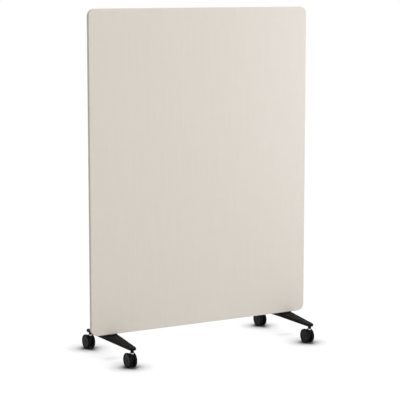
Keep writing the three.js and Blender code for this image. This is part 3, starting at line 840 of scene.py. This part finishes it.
# ---------------------------------------------------------------- feet
def foot_shape(hand):
    """The casting's sizes as functions of the distance from the panel's middle."""
    use = settings().foot
    low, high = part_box(f"{hand}_foot_casting")
    front = middle(f"{hand}_front_castor_stem")
    rear = middle(f"{hand}_rear_castor_stem")
    stem = (rear.y - front.y) / 2
    root_half = (high.x - low.x) / 2
    soft = use.root_blend
    top = high.z

    def half_width(y):
        reach = (math.hypot(y, soft) - soft) / (math.hypot(stem, soft) - soft)
        past = abs(y) - stem
        if past > 0:
            return math.sqrt(max(use.tip_radius ** 2 - past ** 2, 0.0))
        return root_half + (use.tip_radius - root_half) * reach

    def top_at(y):
        fall = max(abs(y) - use.pad_half, 0.0) / (stem - use.pad_half)
        return top - use.tip_drop * fall

    def under_at(y):
        along = abs(y) / stem
        height = use.root_height + (use.tip_height - use.root_height) * along
        return top - use.tip_drop * along - height

    return {
        "x": (low.x + high.x) / 2, "y": (front.y + rear.y) / 2, "stem": stem, "low": low.z,
        "top": top, "half_width": half_width, "top_at": top_at, "under_at": under_at}


def foot_section(shape, y):
    """One cross-section: rounded above with a 4 mm radius and below with a small one."""
    use = settings().foot
    half = shape["half_width"](y)
    to_end = max(shape["stem"] + use.tip_radius - abs(y), 0.0)
    upper = min(use.edge_radius, half * 0.8)
    lower = min(use.lower_radius, half / 2)
    into = max(use.edge_radius - to_end, 0.0)
    top = shape["top_at"](y) - (use.edge_radius - math.sqrt(use.edge_radius ** 2 - into ** 2))
    under = shape["under_at"](y)
    ring = arc((half - lower, under + lower), lower, -90, 0, 3)
    ring += arc((half - upper, top - upper), upper, 0, 90, 6)
    ring += arc((-half + upper, top - upper), upper, 90, 180, 6)
    ring += arc((-half + lower, under + lower), lower, 180, 270, 3)
    return [(x, y, z) for x, z in ring]


def foot_stations(shape):
    """Where the sections stand along a foot, closer together round its tips."""
    use = settings().foot
    arm_steps, length = 22, shape["stem"] - use.pad_half
    arm = [use.pad_half + length * step / arm_steps for step in range(arm_steps + 1)]
    tip = [shape["stem"] + use.tip_radius * math.sin(math.radians(turn))
           for turn in (8, 16, 24, 32, 40, 48, 56, 63, 70, 76, 81, 85, 88)]
    forward = [use.pad_half * 0.3, use.pad_half * 0.65, *arm, *tip]
    return [-y for y in reversed(forward)] + [0.0] + forward


def foot_pocket(shape, start, end, side):
    """A cast pocket in the underside of one arm, with round corners and a soft roof."""
    use = settings().foot
    fillet = 2 * MM
    corners = [
        (-(shape["half_width"](start) - use.wall), side * start),
        (shape["half_width"](start) - use.wall, side * start),
        (shape["half_width"](end) - use.wall, side * end),
        (-(shape["half_width"](end) - use.wall), side * end)]
    if side < 0:
        corners.reverse()
    plan = rounded_polygon(corners, 4 * MM, 5)
    rings = [[(x, y, shape["under_at"](y) - 5 * MM) for x, y in plan]]
    for step in range(4):
        turn = math.pi / 2 * step / 3
        inner = inset_outline(plan, fillet * (1 - math.cos(turn)))
        below = use.wall + fillet * (1 - math.sin(turn))
        rings.append([(x, y, shape["top_at"](y) - below) for x, y in inner])
    return skin(rings)


def foot_boss(shape):
    """The round boss under a tip, with a fillet where it runs into the arm."""
    boss, flare, bevel = 8 * MM, 5 * MM, 0.8 * MM
    low, under = shape["low"], shape["under_at"](shape["stem"])
    into_arm = 2 * MM
    profile = [(0.0, low)] + arc((boss - bevel, low + bevel), bevel, -90, 0, 3)
    profile += arc((boss + flare, under - flare), flare, 180, 90, 8)
    profile += [(boss + flare, under + into_arm), (0.0, under + into_arm)]
    return turned(profile, 48)


def cast_foot(hand):
    """A foot's casting: the tapered beam with its bosses, less its pockets and holes."""
    use = settings().foot
    shape = foot_shape(hand)
    beam = skin([foot_section(shape, y) for y in foot_stations(shape)])
    plate_low, plate_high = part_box(f"{hand}_mounting_plate")
    root_end = (plate_high.y - plate_low.y) / 2 + 14 * MM
    tip_start = shape["stem"] - use.tip_radius - 2 * MM
    half_way = (root_end + tip_start) / 2
    pockets = [
        foot_pocket(shape, start, end, side)
        for side in (-1, 1)
        for start, end in ((root_end, half_way - use.rib / 2), (half_way + use.rib / 2, tip_start))]
    bosses, bores = [], []
    thread, depth = 5.35 * MM, 18 * MM
    # The holes' facets are turned a little, so that none falls on a facet of the casting.
    off_facets = Matrix.Rotation(math.radians(2.3), 4, "Z")
    for y in (-shape["stem"], shape["stem"]):
        boss = foot_boss(shape)
        boss.transform(Matrix.Translation((0, y, 0)))
        bosses.append(boss)
        bore = turned([(0, -5 * MM), (thread, -5 * MM), (thread, depth), (0, depth)], 40)
        bore.transform(Matrix.Translation((0, y, shape["low"])) @ off_facets)
        bores.append(bore)
    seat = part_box(f"{hand}_foot_bolt_outer")[0].z + 6.25 * MM
    start, end = shape["low"], shape["top"] + 5 * MM
    shank, head = 3.4 * MM, 5.7 * MM
    for side in (-1, 1):
        hole = turned(
            [(0, start), (head, start), (head, seat), (shank, seat), (shank, end), (0, end)], 40)
        hole.transform(Matrix.Translation((side * use.screw_spacing / 2, 0, 0)) @ off_facets)
        bores.append(hole)
    mesh = combined(beam, joined=bosses, removed=pockets + bores)
    mesh.transform(Matrix.Translation((shape["x"], shape["y"], 0)))
    return mesh


def socket_screw(hand, where):
    """A cap screw with a hexagon socket, head down."""
    node = f"{hand}_foot_bolt_{where}"
    low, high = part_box(node)
    radius = (high.x - low.x) / 2
    head, shank, bevel = 6 * MM, 3 * MM, 0.5 * MM
    pitch = 1 * MM
    profile = [(0.0, 0.0)] + arc((radius - bevel, bevel), bevel, -90, 0, 4)
    profile += [(radius, head - 0.2 * MM), (radius - 0.2 * MM, head), (shank, head)]
    top = high.z - low.z
    thread_from = top - 18 * MM
    profile += [(shank, thread_from)]
    turns = round((top - 1 * MM - thread_from) / pitch)
    for turn in range(turns):
        start = thread_from + turn * pitch
        profile += [(shank - 0.35 * MM, start + pitch * 0.45), (shank, start + pitch * 0.95)]
    profile += [(shank - 0.9 * MM, top), (0.0, top)]
    key = turned([(0, -MM), (2.9 * MM, -MM), (2.9 * MM, 3 * MM), (0, 3.4 * MM)], 6)
    mesh = combined(turned(profile, 40), removed=[key])
    mesh.transform(Matrix.Translation((*middle(node).xy, low.z)))
    return mesh


class PARTITION_OT_feet(bpy.types.Operator):
    """Cast the two cross feet and screw them to the panel through their plates"""
    bl_idname = "partition.feet"
    bl_label = "Cross feet"

    def execute(self, context):
        use = settings().foot
        coat = powder_coat(use.coat)
        zinc = bright_zinc(use.zinc)
        for hand in HANDS:
            node = f"{hand}_foot_casting"
            finish_piece(f"{hand}_cross_foot", cast_foot(hand), [coat], "frame", [node])
            for where in ("outer", "inner"):
                finish_piece(
                    f"{hand}_{where}_screw", socket_screw(hand, where), [zinc], "frame",
                    [f"{hand}_foot_bolt_{where}"])
        dress_nodes([f"{hand}_mounting_plate" for hand in HANDS], blackened_steel(use.plate), 0.4)
        for number in range(1, 5):
            node = f"threaded_insert_{number}"
            low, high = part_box(node)
            outer, bore, tall = (high.x - low.x) / 2, 3.35 * MM, high.z - low.z
            profile = [(bore, 0.0), (outer, 0.0)]
            grooves = 9
            for groove in range(grooves):
                start = tall * groove / grooves
                profile += [(outer, start + tall * 0.07), (outer - 0.3 * MM, start + tall * 0.085)]
            profile += [(outer - 0.6 * MM, tall), (bore, tall)]
            mesh = turned(profile, 40, closed=True)
            mesh.transform(Matrix.Translation((*middle(node).xy, low.z)))
            finish_piece(f"insert_{number}", mesh, [zinc], "frame", [node])
        return {"FINISHED"}


# ---------------------------------------------------------------- castors
def castor_layout(name):
    """The castor's main places, from the boxes of its stem, housing and wheels."""
    stem_low, stem_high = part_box(f"{name}_stem")
    _, body_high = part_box(f"{name}_housing")
    left_low, left_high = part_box(f"{name}_left_wheel")
    right_low, right_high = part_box(f"{name}_right_wheel")
    casting_low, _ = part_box(f"{name.split('_')[0]}_foot_casting")
    x, y = (stem_low.x + stem_high.x) / 2, (stem_low.y + stem_high.y) / 2
    return {
        "x": x, "y": y, "stem_low": stem_low.z, "stem_high": stem_high.z,
        "axle_y": (left_low.y + left_high.y) / 2, "radius": (left_high.z - left_low.z) / 2,
        "outside": right_high.x - x, "hub_inside": right_low.x - x,
        "socket_top": body_high.z, "socket_low": stem_low.z - 3 * MM,
        "collar": (stem_high.x - stem_low.x) / 2, "boss": casting_low.z,
    }


STEM_PIN, STEM_THREAD = 4 * MM, 5 * MM  # radii
SOCKET_RADIUS = 7.5 * MM
AXLE_RADIUS = 3 * MM
AXLE_INSET = 4.5 * MM  # from a wheel's outer face to the end of the axle


def stem_mesh(lay):
    """Thread, collar and grooved pin, turned in one piece."""
    low, high, collar = lay["stem_low"], lay["stem_high"], lay["collar"]
    gap = 0.25 * MM  # between the collar and what it runs or seats against
    collar_low, collar_high = lay["socket_top"] + gap, lay["boss"] - gap
    groove, groove_end = low + 2.75 * MM, low + 4.45 * MM
    soft = 0.6 * MM
    profile = [(0.0, low), (STEM_PIN - soft, low), (STEM_PIN, low + soft), (STEM_PIN, groove),
               (STEM_PIN - MM, groove), (STEM_PIN - MM, groove_end), (STEM_PIN, groove_end),
               (STEM_PIN, collar_low)]
    profile += arc((collar - soft, collar_low + soft), soft, -90, 0, 4)
    profile += arc((collar - soft, collar_high - soft), soft, 0, 90, 4)
    profile += [(STEM_THREAD, collar_high), (STEM_THREAD, collar_high + 2 * MM)]
    pitch = 1.5 * MM
    turns = int((high - MM - collar_high - 2 * MM) / pitch)
    for turn in range(turns):
        start = collar_high + 2 * MM + turn * pitch
        root, crest = STEM_THREAD - 0.6 * MM, STEM_THREAD
        profile += [(root, start + pitch * 0.5), (crest, start + pitch * 0.95)]
    profile += [(STEM_THREAD - MM, high), (0.0, high)]
    return turned(profile, 48)


def ring_mesh(lay):
    """The split spring ring in the stem's groove."""
    low = lay["stem_low"] + 3 * MM
    gap = 25
    outer = arc((0.0, 0.0), 5.2 * MM, gap, 360 - gap, 40)
    inner = arc((0.0, 0.0), 3.25 * MM, 360 - gap, gap, 40)
    return extruded(outer + inner, low, low + 1.2 * MM, 0.15 * MM, 2)


def hood_outline(lay):
    """The hood between the wheels, from the side: from the socket back over the axle, and
    narrower below it."""
    use = settings().castor
    trail, axle = lay["axle_y"] - lay["y"], lay["radius"]
    front, brow = MM - SOCKET_RADIUS, lay["socket_top"] - 4 * MM
    top, lowest = axle + use.hood_radius, axle - use.hood_below
    back = -use.hood_angle
    behind = (trail + use.hood_radius * math.cos(back), axle + use.hood_radius * math.sin(back))
    tangent_y = behind[0] + (behind[1] - lowest) * math.tan(back)

    def bend(start, pull, end, steps):
        """A quadratic curve, without its last point."""
        spots = []
        for step in range(steps):
            t = step / steps
            shares = ((1 - t) ** 2, 2 * t * (1 - t), t * t)
            spots.append(tuple(
                sum(share * part for share, part in zip(shares, parts))
                for parts in zip(start, pull, end)))
        return spots

    outline = [(front, lay["socket_low"]), (front, brow)]
    outline += bend((SOCKET_RADIUS - MM, brow), (SOCKET_RADIUS + MM, top), (trail, top), 8)
    outline += arc((trail, axle), use.hood_radius, 90, math.degrees(back), 32)[:-1]
    outline += bend(behind, (tangent_y, lowest), (trail, lowest), 12)
    outline += bend((trail, lowest), (0.0, lowest), (front, lay["socket_low"]), 10)
    return outline


def body_mesh(lay):
    """The castor's body: a hood with rounded rims and the stem's socket on its front end."""
    use = settings().castor
    half = SOCKET_RADIUS - MM
    upright = Matrix(((0, 0, 1), (1, 0, 0), (0, 1, 0))).to_4x4()
    hood = extruded(hood_outline(lay), -half, half, 1.2 * MM, 3, upright)
    low, high, soft = lay["socket_low"], lay["socket_top"], 1 * MM
    floor = 3 * MM
    profile = [(0.0, low - floor), (SOCKET_RADIUS - 3 * MM, low - floor)]
    profile += arc((SOCKET_RADIUS - 3 * MM, low), 3 * MM, -90, 0, 5)
    profile += arc((SOCKET_RADIUS - soft, high - soft), soft, 0, 90, 4) + [(0.0, high)]
    tube = turned(profile, 56)
    bore_radius = SOCKET_RADIUS - use.socket_wall
    end = high + 5 * MM
    bore = turned([(0, low), (bore_radius, low), (bore_radius, end), (0, end)], 48)
    hole, past = AXLE_RADIUS + 0.4 * MM, 20 * MM
    axle = turned([(0, -past), (hole, -past), (hole, past), (0, past)], 40)
    axle.transform(Matrix.Rotation(math.pi / 2, 4, "Y"))
    axle.transform(Matrix.Translation((0, lay["axle_y"] - lay["y"], lay["radius"])))
    mesh = combined(hood, joined=[tube], removed=[bore, axle])
    mesh.transform(Matrix.Translation((lay["x"], lay["y"], 0)))
    return mesh


def wheel_profile(lay):
    """(radius, distance outward from the castor's middle), from the blind bore to the cap.
    Also the radius at which the tread begins."""
    use = settings().castor
    rim, inside, outside = lay["radius"], SOCKET_RADIUS + 0.8 * MM, lay["outside"]
    bore, end = AXLE_RADIUS + 0.35 * MM, outside - AXLE_INSET + 0.25 * MM
    hub = bore + 3.5 * MM
    tread_from = (inside + outside - use.tread_width) / 2
    tread_to = tread_from + use.tread_width
    hub_end = lay["hub_inside"]
    profile = [(0.0, end), (bore, end), (bore, hub_end), (hub - 0.4 * MM, hub_end),
               (hub, hub_end + 0.4 * MM)]
    profile += arc((hub + 1.5 * MM, inside + 0.5 * MM), 1.5 * MM, 180, 90, 4)
    profile += arc((rim - 7.8 * MM, inside + 0.8 * MM), 1.2 * MM, 90, 20, 4)
    profile += arc((rim - 4.6 * MM, inside + 1.4 * MM), 1.4 * MM, 230, 290, 4)
    crown, tread_start = 0.15 * MM, rim - 3 * MM
    profile += [(tread_start, inside + 0.15 * MM), (rim - 1.6 * MM, inside + 0.7 * MM),
                (rim - 0.6 * MM, tread_from - 0.1 * MM), (rim - crown, tread_from + 0.9 * MM),
                (rim, (tread_from + tread_to) / 2), (rim - crown, tread_to - 0.9 * MM),
                (rim - 0.6 * MM, tread_to + 0.1 * MM), (rim - 1.6 * MM, outside - 0.7 * MM),
                (tread_start, outside - 0.15 * MM)]
    profile += arc((rim - 4.4 * MM, outside - 0.7 * MM), 0.7 * MM, 60, 150, 4)
    profile += arc((rim - 6.6 * MM, outside - 0.8 * MM), 1.2 * MM, 340, 270, 4)
    cap = bore + 5 * MM
    profile += [(cap + 7 * MM, outside - 1.7 * MM), (cap + 1.2 * MM, outside - 2.0 * MM)]
    profile += arc((cap - 0.8 * MM, outside - 1.0 * MM), 0.8 * MM, 0, 90, 4)
    profile += [(cap - 3 * MM, outside - 0.05 * MM), (0.0, outside)]
    return profile, tread_start


def wheel_mesh(lay, side):
    """One wheel, hub and tread in two finishes. side is -1 for the left one, 1 for the right."""
    profile, tread_start = wheel_profile(lay)
    mesh = turned(profile, settings().castor.facets)
    rim_low, rim_high = tread_start - 1e-6, lay["radius"] + 1e-6
    for face in mesh.polygons:
        reach = [Vector(mesh.vertices[at].co).xy.length for at in face.vertices]
        face.material_index = 1 if rim_low < min(reach) and max(reach) < rim_high else 0
    mesh.transform(Matrix.Rotation(side * math.pi / 2, 4, "Y"))
    mesh.transform(Matrix.Translation((lay["x"], lay["axle_y"], lay["radius"])))
    return mesh


class PARTITION_OT_castors(bpy.types.Operator):
    """Put a stem, body, bush, axle and two wheels at each of the four tips"""
    bl_idname = "partition.castors"
    bl_label = "Castors"

    def execute(self, context):
        use = settings().castor
        zinc = bright_zinc(settings().foot.zinc)
        body_finish = moulded_nylon("moulded_nylon", use.nylon, 0.9, 0.48)
        tread_finish = moulded_nylon("polished_tread_nylon", use.tread, 0.6, 0.56)
        acetal = moulded_acetal(use.acetal)
        for name in CASTORS:
            lay = castor_layout(name)
            at_stem = Matrix.Translation((lay["x"], lay["y"], 0))
            at_axle = Matrix.Translation((lay["x"], lay["axle_y"], lay["radius"]))
            swivel = f"{name}_swivel_body"

            stem = stem_mesh(lay)
            stem.transform(at_stem)
            finish_piece(f"{name}_spindle", stem, [zinc], "frame", [f"{name}_stem"])
            ring = ring_mesh(lay)
            ring.transform(at_stem)
            finish_piece(
                f"{name}_snap_ring", ring, [zinc], "frame", [f"{name}_retaining_ring"])

            finish_piece(
                f"{name}_body", body_mesh(lay), [body_finish], swivel,
                [f"{name}_housing"])
            low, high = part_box(f"{name}_bush")
            inner, outer = STEM_PIN + 0.35 * MM, (high.x - low.x) / 2
            bush = turned(
                [(inner, low.z + 0.4 * MM), (inner + 0.4 * MM, low.z), (outer, low.z),
                 (outer, high.z), (inner + 0.4 * MM, high.z), (inner, high.z - 0.4 * MM)],
                48, closed=True)
            bush.transform(at_stem)
            finish_piece(f"{name}_sleeve", bush, [acetal], swivel, [f"{name}_bush"])
            half = lay["outside"] - AXLE_INSET
            axle = turned(
                [(0.0, -half), (AXLE_RADIUS - 0.4 * MM, -half), (AXLE_RADIUS, 0.4 * MM - half),
                 (AXLE_RADIUS, half - 0.4 * MM), (AXLE_RADIUS - 0.4 * MM, half), (0.0, half)], 40)
            axle.transform(Matrix.Rotation(math.pi / 2, 4, "Y"))
            axle.transform(at_axle)
            finish_piece(f"{name}_axle_pin", axle, [zinc], swivel, [f"{name}_axle"])
            for side, hand in ((-1, "left"), (1, "right")):
                finish_piece(
                    f"{name}_wheel_{hand}", wheel_mesh(lay, side), [body_finish, tread_finish],
                    f"{name}_{hand}_wheel", [f"{name}_{hand}_wheel"])
        return {"FINISHED"}


# ---------------------------------------------------------------- studio
def shown_rays(tree):
    """1 for the rays that show a background: the camera's, and those in reflections and glass."""
    path = add_node(tree, "LightPath").outputs
    seen = add_node(
        tree, "Math", {0: path["Is Camera Ray"], 1: path["Is Glossy Ray"]}, operation="MAXIMUM")
    return add_node(
        tree, "Math", {0: seen.outputs[0], 1: path["Is Transmission Ray"]},
        operation="MAXIMUM").outputs[0]


def studio_world(ambient, left_share):
    """White to the camera. It lights from all round, less from the left."""
    world = bpy.data.worlds.new("studio")
    world.use_nodes = True
    tree = world.node_tree
    tree.nodes.clear()
    towards = add_node(
        tree, "SeparateXYZ", {0: add_node(tree, "TexCoord").outputs["Generated"]}).outputs
    strength = add_node(tree, "MapRange", {
        "Value": towards["X"], "From Min": -1.0, "From Max": 0.0, "To Min": ambient * left_share,
        "To Max": ambient})
    lit = add_node(tree, "Background", {"Strength": strength.outputs["Result"]})
    white = add_node(tree, "Background", {"Strength": 1.0})
    for background in (lit, white):
        background.inputs["Color"].default_value = (1.0, 1.0, 1.0, 1.0)
    both = add_node(
        tree, "MixShader", {0: shown_rays(tree), 1: lit.outputs[0], 2: white.outputs[0]})
    add_node(tree, "OutputWorld", {"Surface": both.outputs[0]})
    return world


def floor_finish(use):
    """Matt studio floor. What the camera sees of it is lifted to white by a glow, which ambient
    occlusion cuts back close to the things that stand on it: a painted contact shadow beside their
    real one."""
    material, tree, shader = new_material(
        "matt_studio_floor", Roughness=1.0, Specular_IOR_Level=0.0)
    shown = shown_rays(tree)
    tint = add_node(tree, "Mix", {
        0: shown, FIRST: opaque(use.floor), SECOND: opaque(use.seen_floor)}, data_type="RGBA")
    tree.links.new(tint.outputs[MIXED], shader.inputs["Base Color"])
    # Painted contact shadow: the glow falls off with ambient occlusion near whatever stands on the
    # floor.
    open_sky = add_node(tree, "AmbientOcclusion", {"Distance": use.contact}, samples=16)
    light = add_node(tree, "MapRange", {
        "Value": open_sky.outputs["AO"], "From Min": use.closed_sky, "From Max": 1.0, "To Min": 0.0,
        "To Max": use.floor_lift}).outputs["Result"]
    strength = add_node(tree, "Math", {0: shown, 1: light}, operation="MULTIPLY")
    glow_with_painted_shadow = add_node(
        tree, "Emission", {"Color": (1.0, 1.0, 1.0, 1.0), "Strength": strength.outputs[0]})
    both = add_node(tree, "AddShader", {0: shader.outputs["BSDF"], 1: glow_with_painted_shadow.outputs[0]})
    output = next(node for node in tree.nodes if node.type == "OUTPUT_MATERIAL")
    tree.links.new(both.outputs[0], output.inputs["Surface"])
    return material


def add_lamp(name, place, aim, size, power, colour):
    """A soft square lamp that points at a place."""
    light = bpy.data.lights.new(name, "AREA")
    light.size = size
    light.energy = power
    light.color = colour
    lamp = bpy.data.objects.new(name, light)
    lamp.location = place
    lamp.rotation_euler = (Vector(aim) - Vector(place)).to_track_quat("-Z", "Y").to_euler()
    lamp.visible_camera = False
    bpy.context.scene.collection.objects.link(lamp)
    return lamp


class PARTITION_OT_stage(bpy.types.Operator):
    """Set up the camera, the lamps and the white floor"""
    bl_idname = "partition.stage"
    bl_label = "Studio"

    def execute(self, context):
        use = settings().stage
        scene = context.scene
        scene.view_settings.view_transform = "Standard"
        camera = bpy.data.objects.new("camera", bpy.data.cameras.new("camera"))
        camera.data.sensor_width = 36.0
        camera.data.lens = use.lens
        aim = Vector((-0.0047, -0.01825, 0.7246))  # the middle of the picture
        back = Vector((
            -math.sin(use.azimuth) * math.cos(use.elevation),
            -math.cos(use.azimuth) * math.cos(use.elevation), math.sin(use.elevation)))
        camera.location = aim + back * use.distance
        camera.rotation_euler = (-back).to_track_quat("-Z", "Y").to_euler()
        camera.data.clip_end = 100.0
        scene.collection.objects.link(camera)
        scene.camera = camera

        scene.world = studio_world(use.ambient, use.left_share)
        reach = 9.0  # far enough that its edge lies past the picture's
        floor_mesh = mesh_of(
            [(-reach, -reach, 0), (reach, -reach, 0), (reach, reach, 0), (-reach, reach, 0)],
            [(0, 1, 2, 3)])
        floor_mesh.materials.append(floor_finish(use))
        floor = bpy.data.objects.new("studio_floor", floor_mesh)
        scene.collection.objects.link(floor)

        add_lamp(
            "side_lamp", (1.2, -0.55, 1.35), (0.3, 0.0, 1.15), 1.8, use.lamp_power, use.lamp)
        return {"FINISHED"}


# ---------------------------------------------------------------- sidebar and run
OPERATORS = (
    PARTITION_OT_stage, PARTITION_OT_covers, PARTITION_OT_core, PARTITION_OT_feet,
    PARTITION_OT_castors)


class PARTITION_PT_sidebar(bpy.types.Panel):
    """Lists the partition's pieces and their settings"""
    bl_idname = "PARTITION_PT_sidebar"
    bl_label = "Rolling Partition"
    bl_space_type = "VIEW_3D"
    bl_region_type = "UI"
    bl_category = "Partition"

    def draw(self, context):
        for operator in OPERATORS:
            self.layout.operator(operator.bl_idname, text=operator.bl_label)
        for group_name in ("panel", "foot", "castor", "stage"):
            group = getattr(context.scene.partition, group_name)
            box = self.layout.box()
            box.label(text=group_name.title())
            for name in group.__annotations__:
                box.prop(group, name)


CLASSES = (
    PanelSettings, FootSettings, CastorSettings, StageSettings, PartitionSettings,
    *OPERATORS, PARTITION_PT_sidebar)


def register():
    for each in CLASSES:
        bpy.utils.register_class(each)
    bpy.types.Scene.partition = PointerProperty(type=PartitionSettings)


def unregister():
    del bpy.types.Scene.partition
    for each in reversed(CLASSES):
        bpy.utils.unregister_class(each)


def main():
    """Builds the stage and every piece."""
    register()
    for operator in OPERATORS:
        group, name = operator.bl_idname.split(".")
        getattr(getattr(bpy.ops, group), name)()


if __name__ == "__main__":
    main()
